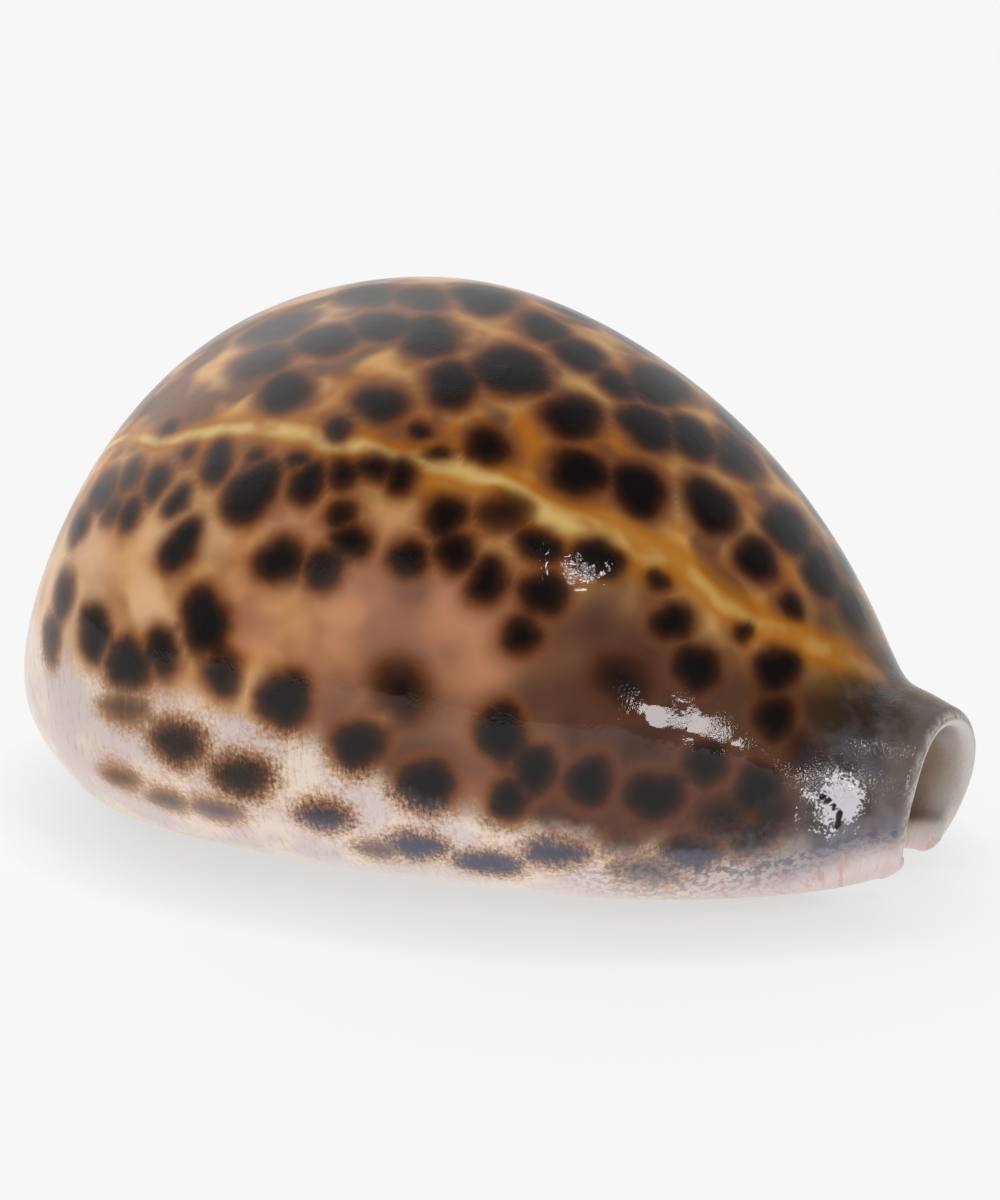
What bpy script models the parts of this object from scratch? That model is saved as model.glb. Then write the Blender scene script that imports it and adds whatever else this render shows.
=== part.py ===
"""A tiger cowrie shell, lying on its base: one hollow piece with a toothed aperture.

The wall is a loft. Each cross-section is a closed loop that runs round the outside of the shell
from the outer lip to the columella's lip, and back round the inside. The sections lean with the
shell's ends, where the two canals open. +X points to the narrow front end with the siphonal
canal, +Z is up, and the outer lip is on the -Y side. The origin is under the middle of the
shell, on the plane that it rests on.
"""

import math
from typing import NamedTuple

import bmesh
import bpy
import numpy as np

LENGTH = 0.0866  # from the back of the dome to the rim of the siphonal canal
PERCENT = LENGTH / 100


class Station(NamedTuple):
    """One cross-section, in percent of the shell's length. Widths are from the aperture's middle."""

    top_x: float  # where the section's top lies along the shell
    top_z: float  # how high its top is
    foot_x: float  # where its foot lies along the shell
    foot_z: float  # how high its foot is
    outer_lip: float  # width on the outer lip's side
    columella: float  # width on the columella's side
    margin: float  # height of the widest place over the foot
    middle: float  # sideways place of the aperture's middle
    gap: float  # half the width of the aperture
    lip: float  # thickness of the lips beside the aperture
    roof: float  # thickness of the wall at the top
    side: float  # thickness of the wall at the margins
    lag: float  # how much further back the soles lie at the margins than at the aperture
    tuck: float  # how far the lips' soles are tucked back behind the section
    dip: float  # how much lower the columella's lip reaches than the outer lip


# From the small canal at the rounded back end to the siphonal canal at the narrow front end.
STATIONS = (
    Station(-46.7, 9.8, -45.7, 4.3, 6.2, 6.2, 3.0, 2.4, 2.0, 1.4, 2.4, 4.2, 0.0, 0.0, 0.0),
    Station(-49.3, 13.5, -44.1, 3.1, 17.1, 13.0, 5.9, 2.4, 2.1, 3.4, 6.0, 9.5, 0.0, 0.0, 0.0),
    Station(-47.4, 24.6, -41.3, 1.4, 25.3, 20.6, 9.0, 2.2, 2.2, 5.0, 5.0, 9.0, 0.0, 0.0, 0.0),
    Station(-42.3, 36.6, -36.9, 0.2, 30.9, 26.5, 11.3, 1.8, 2.3, 5.8, 4.0, 8.0, 0.0, 0.0, 0.0),
    Station(-33.7, 47.1, -29.1, 0.0, 36.2, 31.1, 12.7, 1.2, 2.4, 6.0, 3.2, 7.0, 0.0, 0.0, 0.0),
    Station(-20.1, 53.7, -16.7, 0.0, 38.0, 34.1, 13.3, 0.5, 2.5, 6.0, 2.9, 6.4, 0.0, 0.0, 0.0),
    Station(-4.1, 55.2, -3.2, 0.0, 36.7, 34.0, 13.3, 0.0, 2.6, 5.8, 2.9, 6.2, 0.0, 0.0, 0.0),
    Station(12.7, 49.9, 10.3, 0.0, 33.2, 31.4, 12.8, -0.3, 2.9, 5.4, 3.0, 6.0, 0.0, 0.0, 0.0),
    Station(26.5, 40.8, 21.7, 0.0, 27.7, 26.4, 11.6, -0.5, 3.3, 5.0, 3.3, 6.0, 0.0, 0.0, 0.0),
    Station(36.3, 30.4, 30.9, 0.3, 20.8, 19.4, 9.9, -0.3, 3.7, 4.4, 3.5, 5.6, 0.0, 0.0, 0.0),
    Station(41.7, 22.9, 38.7, 1.3, 14.9, 13.4, 8.2, 0.0, 4.1, 3.6, 3.2, 4.6, 0.4, 0.3, 0.2),
    Station(45.5, 21.2, 45.2, 3.1, 10.6, 10.2, 6.9, 0.2, 4.4, 3.0, 2.4, 3.0, 1.0, 1.0, 0.8),
    Station(48.8, 20.1, 49.1, 3.9, 8.5, 9.2, 6.3, 0.3, 4.6, 2.4, 2.0, 2.1, 1.6, 2.1, 1.6),
)
BACK_POWER = 2.15  # a superellipse's power: 2 is an ellipse, and more is squarer
FLANK = ((0.48, 0.0), (0.76, 0.19), (0.85, 0.48))  # under the margin: shares of width and margin
SOLE_SINK = 0.35  # how far the lips' soles are pressed down before the ground flattens them
BACK_ANGLES = [22.5 * step for step in range(1, 8)]
ROOF_ANGLES = [30.0 * step for step in range(1, 6)]

# Columns of a section's control loop: each lip's throat, sole, margin and top, then the inside.
OUTER_LIP_EDGE, COLUMELLA_EDGE = 2.0, 20.0
OUTER_THROAT, COLUMELLA_THROAT, COLUMNS = 0, 22, 34
# (first column, last column, steps) for each stretch of the mesh round a section.
STRETCHES = ((0, 3, 5), (3, 8, 8), (8, 14, 8), (14, 19, 8), (19, 22, 5), (22, COLUMNS, 14))

TEETH_FROM, TEETH_TO = -42.0, 39.9  # along the shell
TOOTH_PITCH = 3.15
TOOTH_HEIGHT = 0.95
TOOTH_REACH = (1.5, 1.9)  # how many columns a tooth runs into the throat, and out on the sole
ROWS_PER_TOOTH = 4
END_ROWS = 5
RIM_STEPS = ((0.25, 0.75), (0.75, 1.0))  # how far the rim has closed, and how far it stands out


def oval(near, far, foot, top, degrees):
    """Points (sideways, up) for a curve on an upper half oval, from the near side over the top."""
    swell = 3 / (2 + math.cos(math.radians(degrees[0])))  # a B-spline runs inside its points
    near, far, top = near * swell, far * swell, foot + (top - foot) * swell
    points = []
    for angle in degrees:
        cosine, sine = math.cos(math.radians(angle)), math.sin(math.radians(angle))
        reach = math.copysign(abs(cosine) ** (2 / BACK_POWER), cosine)
        width = near if cosine > 0 else far
        points.append((-width * reach, foot + (top - foot) * sine ** (2 / BACK_POWER)))
    return points


def control_loop(s, height):
    """The control points (sideways, up) round one section's wall, from the outer lip's throat."""

    def lip(side, width, dip):
        """From the throat's top to the margin, on one side."""
        toe = s.gap + min(2.8, 0.36 * (width - s.gap))
        ball = s.gap + min(3.2, 0.52 * (width - s.gap))
        return [
            (side * s.gap, s.lip),
            (side * s.gap, 0.5 * s.lip - 0.4 * dip),
            (side * (s.gap + 0.1), -dip),
            (side * toe, -SOLE_SINK - dip),
            (side * max(FLANK[0][0] * width, ball), -SOLE_SINK - dip),
            (side * FLANK[1][0] * width, FLANK[1][1] * s.margin - 0.6 * dip),
            (side * FLANK[2][0] * width, FLANK[2][1] * s.margin),
            (side * width, s.margin),
        ]

    roof = height - s.roof
    inner_near = max(s.outer_lip - s.side, s.gap + 0.2)
    inner_far = max(s.columella - s.side, s.gap + 0.2)
    inner_margin = s.lip + 0.3 * (roof - s.lip)

    def floor(side, width):
        """From the throat's top out to the inner margin, on one side."""
        return [
            (side * (0.55 * s.gap + 0.45 * width), s.lip),
            (side * (0.07 * s.gap + 0.93 * width), s.lip + 0.3 * (inner_margin - s.lip)),
            (side * width, inner_margin),
        ]

    outside = lip(-1, s.outer_lip, 0.0)
    outside += oval(s.outer_lip, s.columella, s.margin, height, BACK_ANGLES)
    outside += reversed(lip(1, s.columella, s.dip))
    inside = floor(1, inner_far)
    inside += reversed(oval(inner_near, inner_far, inner_margin, roof, ROOF_ANGLES))
    inside += reversed(floor(-1, inner_near))
    return np.array(outside + inside)


def control_rows():
    """The control points of the whole loft: one closed loop in space for each station."""
    rows = []
    for s in STATIONS:
        rise = np.array([s.top_x - s.foot_x, s.top_z - s.foot_z])
        height = float(np.hypot(*rise))
        sideways, up = control_loop(s, height).T
        share = up / height
        ahead = -s.lag * np.abs(sideways) / s.columella - s.tuck
        x = s.foot_x + rise[0] * share + ahead * (1 - share) ** 3
        z = s.foot_z + rise[1] * share
        rows.append(np.stack([x, s.middle + sideways, z], axis=1))
    return through_rows(np.array(rows))


def through_rows(stations):
    """The B-spline's control rows for a curve that passes through every station."""
    count = len(stations)
    matrix = np.eye(count)
    for k in range(1, count - 1):
        matrix[k, k - 1 : k + 2] = (1 / 6, 4 / 6, 1 / 6)
    return np.linalg.solve(matrix, stations.reshape(count, -1)).reshape(stations.shape)


def cubic_weights(f):
    """The four weights of a uniform cubic B-spline at the share f of a span."""
    return (
        (1 - f) ** 3 / 6,
        (3 * f**3 - 6 * f**2 + 4) / 6,
        (-3 * f**3 + 3 * f**2 + 3 * f + 1) / 6,
        f**3 / 6,
    )


def along_rows(control, at):
    """Samples an open B-spline through the first axis, which starts and ends at its end rows."""
    before, after = 2 * control[0] - control[1], 2 * control[-1] - control[-2]
    padded = np.concatenate([before[None], control, after[None]])
    span = np.clip(np.floor(at).astype(int), 0, len(control) - 2)
    share = (at - span).reshape((-1,) + (1,) * (control.ndim - 1))
    return sum(w * padded[span + k] for k, w in enumerate(cubic_weights(share)))


def round_columns(control, at):
    """Samples a closed B-spline through the second axis."""
    span = np.floor(at).astype(int)
    share = (at - span)[None, :, None]
    count = control.shape[1]
    return sum(w * control[:, (span + k - 1) % count] for k, w in enumerate(cubic_weights(share)))


def along_shell(at):
    """Where the foot of the section at each control row lies, in percent of the length."""
    return along_rows(through_rows(np.array([s.foot_x for s in STATIONS])), at)


def column_places():
    """Where the mesh has points round a section, in control columns."""
    return np.concatenate([np.linspace(a, b, n, endpoint=False) for a, b, n in STRETCHES])


def row_places():
    """Where the mesh has sections, in control rows: four for each tooth, and a few at each end."""
    fine = np.linspace(0, len(STATIONS) - 1, 2000)
    along = along_shell(fine)
    teeth = np.arange(TEETH_FROM, TEETH_TO, TOOTH_PITCH / ROWS_PER_TOOTH)
    toothed = np.interp(teeth, along, fine)
    back = np.linspace(0, toothed[0], END_ROWS, endpoint=False)
    front = np.linspace(toothed[-1], fine[-1], END_ROWS + 1)[1:]
    return np.concatenate([back, toothed, front])


def add_teeth(grid, along, columns):
    """Raises the teeth on both lips and sinks the grooves between them."""
    following = np.roll(grid, -1, axis=1) - np.roll(grid, 1, axis=1)
    out = np.stack([np.zeros(grid.shape[:2]), -following[..., 2], following[..., 1]], axis=2)
    out /= np.linalg.norm(out, axis=2, keepdims=True)
    fade = np.clip((along - TEETH_FROM) / 4, 0, 1) * np.clip((TEETH_TO - along) / 4, 0, 1)
    into, over = TOOTH_REACH
    for edge, towards_sole in ((OUTER_LIP_EDGE, 1), (COLUMELLA_EDGE, -1)):
        away = (columns - edge) * towards_sole
        reach = np.where(away > 0, over, into)
        window = np.clip(1 - (away / reach) ** 2, 0, 1)
        wave = np.cos(2 * math.pi * (along - TEETH_FROM) / TOOTH_PITCH) * towards_sole
        height = 0.5 * TOOTH_HEIGHT * (fade * wave)[:, None] * window[None, :]
        grid = grid - out * height[..., None]
    return grid


def medial(loop, columns):
    """For each point of a section, the middle of the wall beside it."""

    def line(first, last):
        """A stretch of the loop, and how far along it each point is."""
        chosen = np.where((columns >= first) & (columns <= last))[0]
        points = loop[chosen]
        steps = np.linalg.norm(np.diff(points, axis=0), axis=1)
        return points, np.concatenate([[0], np.cumsum(steps)]) / steps.sum()

    outside, out_at = line(OUTER_LIP_EDGE, COLUMELLA_EDGE)
    inside, in_at = line(COLUMELLA_THROAT, COLUMNS)
    inside, in_at = inside[::-1], 1 - in_at[::-1]
    at = np.interp(columns, [OUTER_LIP_EDGE, COLUMELLA_EDGE], [0, 1])
    in_columns = columns >= COLUMELLA_THROAT
    chosen_in = (columns[in_columns] - COLUMELLA_THROAT) / (COLUMNS - COLUMELLA_THROAT)
    at[in_columns] = np.interp(1 - chosen_in, np.linspace(0, 1, len(in_at)), in_at)
    chosen_out = (columns >= OUTER_LIP_EDGE) & (columns <= COLUMELLA_EDGE)
    at[chosen_out] = out_at
    both = [
        np.stack([np.interp(at, where, points[:, k]) for k in range(3)], axis=1)
        for points, where in ((outside, out_at), (inside, in_at))
    ]
    return (both[0] + both[1]) / 2


def rim_rows(grid, columns, end):
    """Rows that round off the wall at one end of the shell, out from its last section."""
    loop = grid[end]
    centre = medial(loop, columns)
    ahead = loop - grid[1 if end == 0 else -2]
    ahead = ahead / np.linalg.norm(ahead, axis=1, keepdims=True)
    ahead = ahead.mean(axis=0)
    half = np.linalg.norm(centre - loop, axis=1, keepdims=True)
    half = np.minimum(half, half.mean())
    return [
        loop + (centre - loop) * closed + ahead * half * stands_out
        for closed, stands_out in RIM_STEPS
    ]


def shell_grid():
    """The loft's points: rows along the shell by columns round its wall, and the columns' places."""
    rows = row_places()
    columns = column_places()
    grid = round_columns(along_rows(control_rows(), rows), columns)
    grid = add_teeth(grid, along_shell(rows), columns)
    back = rim_rows(grid, columns, 0)[::-1]
    front = rim_rows(grid, columns, -1)
    grid = np.concatenate([np.array(back), grid, np.array(front)])
    grid[..., 2] = np.maximum(grid[..., 2], 0)
    return grid * PERCENT, columns


def zip_faces(loop):
    """Triangles that close a section's loop, between its outside and its inside."""
    count = len(loop)
    half = int(np.searchsorted(column_places(), (COLUMELLA_EDGE + COLUMELLA_THROAT) / 2))
    first = int(np.searchsorted(column_places(), (OUTER_LIP_EDGE + OUTER_THROAT) / 2))
    outside = [loop[i] for i in range(first, half + 1)]
    inside = [loop[i % count] for i in range(count + first, half - 1, -1)]
    faces = []
    i = j = 0
    while i < len(outside) - 1 or j < len(inside) - 1:
        share_out = (i + 1) / (len(outside) - 1)
        share_in = (j + 1) / (len(inside) - 1)
        if share_out <= share_in:
            faces.append((outside[i], outside[i + 1], inside[j]))
            i += 1
        else:
            faces.append((outside[i], inside[j + 1], inside[j]))
            j += 1
    return [face for face in faces if len({id(v) for v in face}) == 3]


def make_shell():
    """Makes the shell's mesh object, centred over its own origin."""
    grid, _ = shell_grid()
    lowest, highest = grid.min(axis=(0, 1)), grid.max(axis=(0, 1))
    grid[..., :2] -= (lowest[:2] + highest[:2]) / 2

    bm = bmesh.new()
    rows = [[bm.verts.new(point) for point in row] for row in grid]
    for row, following in zip(rows, rows[1:]):
        for k in range(len(row)):
            bm.faces.new((row[k - 1], row[k], following[k], following[k - 1]))
    for row in (rows[0], rows[-1]):
        for face in zip_faces(row):
            bm.faces.new(face)
    bmesh.ops.recalc_face_normals(bm, faces=bm.faces)
    mesh = bpy.data.meshes.new("cowrie_shell")
    bm.to_mesh(mesh)
    bm.free()
    mesh.shade_smooth()
    return bpy.data.objects.new("cowrie_shell", mesh)


def glazed_shell():
    """Glossy shell enamel, in the mean colour of the spotted back."""
    material = bpy.data.materials.new("glazed_shell")
    material.use_nodes = True
    shader = material.node_tree.nodes["Principled BSDF"]
    shader.inputs["Base Color"].default_value = (0.42, 0.25, 0.14, 1)
    shader.inputs["Roughness"].default_value = 0.15
    shader.inputs["Metallic"].default_value = 0.0
    return material


def main():
    for old in list(bpy.data.objects):
        bpy.data.objects.remove(old)
    collection = bpy.data.collections.new("cowrie")
    bpy.context.scene.collection.children.link(collection)
    shell = make_shell()
    shell.data.materials.append(glazed_shell())
    collection.objects.link(shell)


main()
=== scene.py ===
"""The looks of a tiger cowrie shell, lying on its base on a pale tabletop.

The wall is a loft: each cross-section is a closed loop that runs round the outside of the shell
from the outer lip to the columella's lip, and back round the inside. Its markings are worked out
on the mesh as distances, and the enamel's nodes turn them into soft-edged colour. +X is the
narrow front end with the siphonal canal, and the outer lip is on the -Y side.
"""

import logging
import math
from dataclasses import dataclass, field
from enum import Enum

import bpy
import numpy as np
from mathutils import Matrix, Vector


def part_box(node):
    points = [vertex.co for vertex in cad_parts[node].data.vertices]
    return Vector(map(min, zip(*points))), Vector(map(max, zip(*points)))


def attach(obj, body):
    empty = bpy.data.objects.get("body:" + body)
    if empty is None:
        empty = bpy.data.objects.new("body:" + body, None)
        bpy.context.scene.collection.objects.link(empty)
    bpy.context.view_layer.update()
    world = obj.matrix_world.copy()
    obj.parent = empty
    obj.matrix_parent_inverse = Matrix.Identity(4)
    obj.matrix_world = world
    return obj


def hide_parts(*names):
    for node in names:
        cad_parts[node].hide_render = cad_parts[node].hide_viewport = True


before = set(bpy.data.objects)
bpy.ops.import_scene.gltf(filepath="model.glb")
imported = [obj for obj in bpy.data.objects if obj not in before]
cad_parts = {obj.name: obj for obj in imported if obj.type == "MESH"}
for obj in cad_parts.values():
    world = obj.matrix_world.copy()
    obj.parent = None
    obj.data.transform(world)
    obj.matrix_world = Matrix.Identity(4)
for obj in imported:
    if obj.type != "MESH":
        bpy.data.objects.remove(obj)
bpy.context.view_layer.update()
LOG = logging.getLogger("cowrie")
MM = 0.001
LENGTH = 0.0866  # from the back of the dome to the rim of the siphonal canal, in metres
Paint = tuple[int, int, int]  # a display colour, from 0 to 255


class Tone(Enum):
    """How a dark spot lies in the enamel: (edge width in mm, depth of colour)."""

    CRISP = (0.85, 1.0)
    DOT = (0.60, 0.85)
    HAZED = (1.20, 0.9)
    BLURRED = (1.40, 0.9)
    FEATHERED = (1.00, 0.95)
    VEILED = (1.10, 0.55)


@dataclass(frozen=True)
class Station:
    """One cross-section of the wall, in percent of the shell's length.

    The widths are measured from the aperture's middle.
    """

    top_x: float
    top_z: float
    foot_x: float
    foot_z: float
    outer_lip: float
    columella: float
    margin: float
    middle: float
    gap: float
    lip: float
    roof: float
    side: float
    lag: float
    tuck: float
    dip: float


# From the small canal at the rounded back end to the siphonal canal at the narrow front end.
STATIONS = (
    Station(-46.7, 9.8, -45.7, 4.3, 6.2, 6.2, 3.0, 2.4, 2.0, 1.4, 2.4, 4.2, 0.0, 0.0, 0.0),
    Station(-49.3, 13.5, -44.1, 3.1, 17.1, 13.0, 5.9, 2.4, 2.1, 3.4, 6.0, 9.5, 0.0, 0.0, 0.0),
    Station(-47.4, 24.6, -41.3, 1.4, 25.3, 20.6, 9.0, 2.2, 2.2, 5.0, 5.0, 9.0, 0.0, 0.0, 0.0),
    Station(-42.3, 36.6, -36.9, 0.2, 30.9, 26.5, 11.3, 1.8, 2.3, 5.8, 4.0, 8.0, 0.0, 0.0, 0.0),
    Station(-33.7, 47.1, -29.1, 0.0, 36.2, 31.1, 12.7, 1.2, 2.4, 6.0, 3.2, 7.0, 0.0, 0.0, 0.0),
    Station(-20.1, 53.7, -16.7, 0.0, 38.0, 34.1, 13.3, 0.5, 2.5, 6.0, 2.9, 6.4, 0.0, 0.0, 0.0),
    Station(-4.1, 55.2, -3.2, 0.0, 36.7, 34.0, 13.3, 0.0, 2.6, 5.8, 2.9, 6.2, 0.0, 0.0, 0.0),
    Station(12.7, 49.9, 10.3, 0.0, 33.2, 31.4, 12.8, -0.3, 2.9, 5.4, 3.0, 6.0, 0.0, 0.0, 0.0),
    Station(26.5, 40.8, 21.7, 0.0, 27.7, 26.4, 11.6, -0.5, 3.3, 5.0, 3.3, 6.0, 0.0, 0.0, 0.0),
    Station(36.3, 30.4, 30.9, 0.3, 20.8, 19.4, 9.9, -0.3, 3.7, 4.4, 3.5, 5.6, 0.0, 0.0, 0.0),
    Station(41.7, 22.9, 38.7, 1.3, 14.9, 13.4, 8.2, 0.0, 4.1, 3.6, 3.2, 4.6, 0.4, 0.3, 0.2),
    Station(45.5, 21.2, 45.2, 3.1, 10.6, 10.2, 6.9, 0.2, 4.4, 3.0, 2.4, 3.0, 1.0, 1.0, 0.8),
    Station(48.8, 20.1, 49.1, 3.9, 8.5, 9.2, 6.3, 0.3, 4.6, 2.4, 2.0, 2.1, 1.6, 2.1, 1.6),
)


@dataclass(frozen=True)
class Spot:
    """One dark spot of the back.

    It is placed by percent along the shell and percent of the way round from lip to lip, and
    sized in millimetres. Its tilt is in degrees, from the shell's length towards the columella.
    """

    along: float
    around: float
    length: float
    width: float
    tilt: float
    tone: Tone


# The spots of the outer lip's side, from the back's ridge down to the base.
SPOTS = (
    Spot(32.5, 56, 5.2, 4, 90, Tone.HAZED),
    Spot(-3, 52.5, 8.8, 4.8, -60, Tone.CRISP),
    Spot(12.5, 54, 9.6, 4.8, -80, Tone.CRISP),
    Spot(20, 54, 6.4, 4.4, -80, Tone.HAZED),
    Spot(26, 53, 6.4, 4.8, -80, Tone.CRISP),
    Spot(29.5, 53.5, 5.6, 4.4, -80, Tone.CRISP),
    Spot(-12.5, 50.5, 7.6, 4, -40, Tone.HAZED),
    Spot(-7, 50.5, 5.6, 3.8, -40, Tone.HAZED),
    Spot(3.5, 51.5, 5.6, 3.6, -60, Tone.CRISP),
    Spot(7, 51, 5.2, 4, -60, Tone.CRISP),
    Spot(11, 50.5, 3.8, 3, -20, Tone.CRISP),
    Spot(17.5, 51, 5.6, 4.4, -80, Tone.CRISP),
    Spot(-18, 47, 6, 5.2, 0, Tone.HAZED),
    Spot(-7.5, 46.5, 5, 4.4, -20, Tone.CRISP),
    Spot(4.5, 46.5, 6.4, 6, -60, Tone.CRISP),
    Spot(15, 48.5, 5.6, 4.8, -80, Tone.CRISP),
    Spot(22, 47, 5.8, 4.6, -50, Tone.CRISP),
    Spot(49, 47, 2, 1.2, -90, Tone.DOT),
    Spot(-16.5, 43.5, 5.2, 4.2, -20, Tone.HAZED),
    Spot(-11.5, 45, 5.4, 4.4, 0, Tone.CRISP),
    Spot(-3, 46.5, 6, 4.4, -60, Tone.CRISP),
    Spot(10.5, 45.5, 5.4, 4.4, -80, Tone.CRISP),
    Spot(17.5, 43.5, 5.6, 4.4, -60, Tone.CRISP),
    Spot(26.5, 46.5, 4.8, 3.6, -80, Tone.CRISP),
    Spot(30, 46, 2.6, 2.2, 60, Tone.DOT),
    Spot(-12, 41, 4.4, 4.2, -20, Tone.CRISP),
    Spot(-3, 41, 4, 3.4, 0, Tone.CRISP),
    Spot(1.5, 43.5, 5, 4, -60, Tone.CRISP),
    Spot(6.5, 40.5, 3.4, 3.2, -60, Tone.CRISP),
    Spot(13.5, 42, 4.8, 4.4, 80, Tone.CRISP),
    Spot(-23.5, 39.5, 2, 1.4, -10, Tone.DOT),
    Spot(-5.5, 39, 2.4, 2, -30, Tone.DOT),
    Spot(1, 40, 2, 1.2, 0, Tone.DOT),
    Spot(3.5, 39, 2, 1, 20, Tone.DOT),
    Spot(17.5, 37.5, 4.8, 3, 20, Tone.CRISP),
    Spot(22, 38.5, 2.2, 1.6, 20, Tone.DOT),
    Spot(28.5, 40, 2, 1.6, 80, Tone.DOT),
    Spot(32, 39.5, 4.6, 3.6, 70, Tone.CRISP),
    Spot(-31.5, 35, 3.6, 2.6, -20, Tone.HAZED),
    Spot(-29.5, 36.5, 4, 3.2, -30, Tone.HAZED),
    Spot(-27, 35, 2, 1.6, -40, Tone.HAZED),
    Spot(-26, 37, 2.4, 1.8, -70, Tone.HAZED),
    Spot(-22, 36, 3, 2.2, -90, Tone.CRISP),
    Spot(-19.5, 37.5, 1.2, 1, -70, Tone.DOT),
    Spot(-19, 34.5, 2.8, 1.6, 60, Tone.CRISP),
    Spot(-16, 36.5, 3.8, 2.4, -80, Tone.CRISP),
    Spot(-12, 37, 1.6, 1.2, 20, Tone.DOT),
    Spot(-11.5, 35, 6.4, 4, 60, Tone.CRISP),
    Spot(-8, 37, 2.2, 1.2, 0, Tone.DOT),
    Spot(-6.5, 35.5, 3.4, 2.8, 80, Tone.CRISP),
    Spot(-3.5, 36.5, 2.4, 2.2, -20, Tone.CRISP),
    Spot(-1, 37, 2.8, 2, 10, Tone.CRISP),
    Spot(1, 37, 2.8, 2.2, -80, Tone.CRISP),
    Spot(6, 36, 3.2, 3.2, 10, Tone.CRISP),
    Spot(10, 37.5, 3.4, 2.4, 30, Tone.BLURRED),
    Spot(13.5, 36.5, 4, 2.4, 10, Tone.CRISP),
    Spot(24, 36.5, 3.6, 2.8, 60, Tone.CRISP),
    Spot(27, 34.5, 4, 3.8, 80, Tone.CRISP),
    Spot(34, 35, 4, 3.4, 80, Tone.CRISP),
    Spot(-24.5, 34.5, 2.8, 2, 80, Tone.CRISP),
    Spot(-17.5, 32, 4.8, 2.8, 60, Tone.CRISP),
    Spot(-7, 31.5, 4.4, 3.2, 10, Tone.CRISP),
    Spot(-2.5, 34.5, 2.6, 2.4, 20, Tone.DOT),
    Spot(-1, 33, 3.4, 2.4, 0, Tone.CRISP),
    Spot(4, 33, 3.2, 2.8, 0, Tone.CRISP),
    Spot(7.5, 34, 3.4, 3.2, 0, Tone.CRISP),
    Spot(10.5, 33.5, 4, 2.8, -80, Tone.CRISP),
    Spot(15, 34, 3.6, 3.6, 60, Tone.CRISP),
    Spot(38, 33, 2.8, 2.8, 60, Tone.BLURRED),
    Spot(47.5, 32, 3.2, 2.4, -80, Tone.BLURRED),
    Spot(-32, 30.5, 3.6, 3.2, 80, Tone.HAZED),
    Spot(-3, 31.5, 3.4, 3, 30, Tone.CRISP),
    Spot(14.5, 31, 3, 2.8, 20, Tone.CRISP),
    Spot(22.5, 31, 4.8, 3.8, 0, Tone.BLURRED),
    Spot(-33.5, 28, 3.2, 3, -40, Tone.HAZED),
    Spot(-26.5, 28, 4.4, 3.6, 80, Tone.CRISP),
    Spot(-22, 26, 4.6, 4, 10, Tone.CRISP),
    Spot(-18, 26.5, 4, 2.8, -80, Tone.CRISP),
    Spot(-13.5, 28, 5.2, 4.4, -80, Tone.CRISP),
    Spot(-11.5, 26, 3.6, 2.8, -80, Tone.CRISP),
    Spot(5.5, 26.5, 4.8, 3.6, -60, Tone.BLURRED),
    Spot(30, 28, 4, 3.4, 10, Tone.CRISP),
    Spot(35, 27, 4.4, 4, -70, Tone.CRISP),
    Spot(-22.5, 24, 4.8, 1.7, 5, Tone.VEILED),
    Spot(-5, 24.5, 4.8, 4.4, 70, Tone.CRISP),
    Spot(2, 23, 4.8, 3.6, 20, Tone.CRISP),
    Spot(14.5, 25.5, 4.8, 4, -80, Tone.CRISP),
    Spot(17.5, 24, 4, 3.6, -80, Tone.CRISP),
    Spot(22, 24, 4, 4, -20, Tone.CRISP),
    Spot(27, 24, 4.8, 4.4, 0, Tone.CRISP),
    Spot(32.5, 23, 4.4, 3.2, 0, Tone.BLURRED),
    Spot(36.5, 24.5, 4.2, 3.4, -40, Tone.BLURRED),
    Spot(-25, 19.2, 3.4, 1.3, 10, Tone.VEILED),
    Spot(-16.5, 21.8, 5.0, 3.2, 0, Tone.FEATHERED),
    Spot(-10, 20, 4.9, 3.4, 20, Tone.FEATHERED),
    Spot(8.5, 21.5, 5.2, 4, 20, Tone.CRISP),
    Spot(15.5, 21.5, 3.6, 3, -90, Tone.CRISP),
    Spot(25, 19.4, 3.4, 2.2, 0, Tone.VEILED),
    Spot(35.5, 21, 4, 2.6, 20, Tone.FEATHERED),
    Spot(-19.5, 18.2, 3.6, 1.3, 10, Tone.VEILED),
    Spot(-14.0, 17.6, 4.0, 1.5, 10, Tone.VEILED),
    Spot(-2, 18.2, 3.8, 2.0, 10, Tone.FEATHERED),
    Spot(6.5, 16.8, 4.2, 2.1, 10, Tone.FEATHERED),
    Spot(19.5, 17.4, 4.2, 2.4, 10, Tone.FEATHERED),
    Spot(30.5, 19, 4.8, 3.2, 0, Tone.FEATHERED),
    Spot(2.5, 15.8, 2.6, 1.1, 10, Tone.VEILED),
    Spot(13, 15.8, 4.4, 2.2, 5, Tone.FEATHERED),
    Spot(27, 16, 4.8, 2.8, -10, Tone.VEILED),
)

# The mantle line: (percent along, percent round from the outer lip).
MANTLE_LINE = (
    (-47.0, 45.0),
    (-36.0, 41.5),
    (-24.0, 39.0),
    (-13.0, 38.3),
    (-4.0, 38.4),
    (1.0, 38.1),
    (8.0, 38.7),
    (14.0, 38.9),
    (20.0, 39.5),
    (26.0, 40.6),
    (29.0, 41.6),
    (32.0, 44.2),
    (35.5, 48.0),
    (39.0, 52.0),
)
# Where the pale callus over the margins ends: (percent along, percent round from a lip).
CALLUS_EDGE = (
    (-47.0, 48.0),
    (-43.0, 36.0),
    (-37.0, 30.0),
    (-30.0, 27.0),
    (-20.0, 25.2),
    (-5.0, 23.5),
    (5.0, 21.5),
    (15.0, 20.0),
    (30.0, 19.5),
    (40.0, 20.5),
    (48.0, 23.0),
)


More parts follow.
